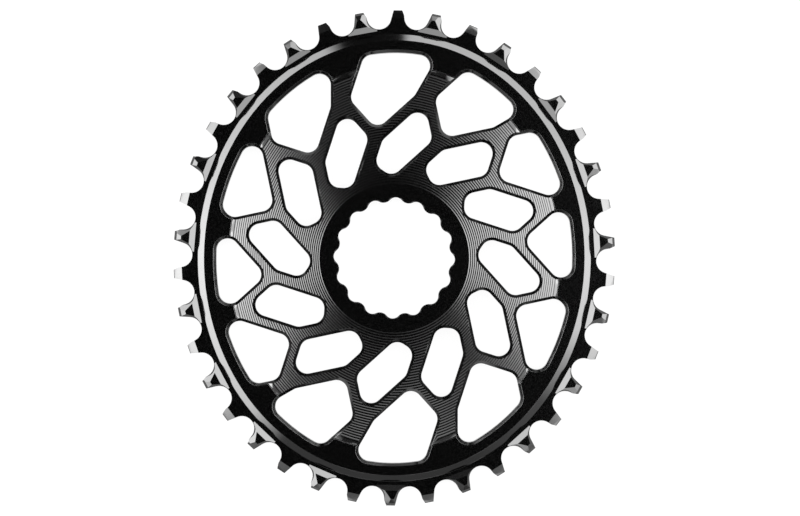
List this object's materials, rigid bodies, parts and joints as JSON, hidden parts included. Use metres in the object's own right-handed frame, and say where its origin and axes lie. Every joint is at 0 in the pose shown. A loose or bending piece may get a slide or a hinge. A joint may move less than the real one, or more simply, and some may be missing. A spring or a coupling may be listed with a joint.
{
  "type": "bicycle chainring",
  "caption": "Oval direct-mount bicycle chainring with alternating narrow and wide teeth, a bevelled rim, a pocketed strut web and a scalloped splined bore, in black anodised aluminium.",
  "frame": {"origin": "on the bore axis, in the plane of the rim's back face that the part rests on", "axes": "+Z along the bore axis towards the outer face, +Y along the long axis of the oval, with a narrow tooth at its end"},
  "size_m": [0.1486, 0.1672, 0.008],
  "materials": {
    "anodised_black": "black anodised, smooth on rim and teeth, fine tool marks on the web"
  },
  "bodies": {
    "root": {"chainring": "anodised_black"}
  },
  "joints": []
}
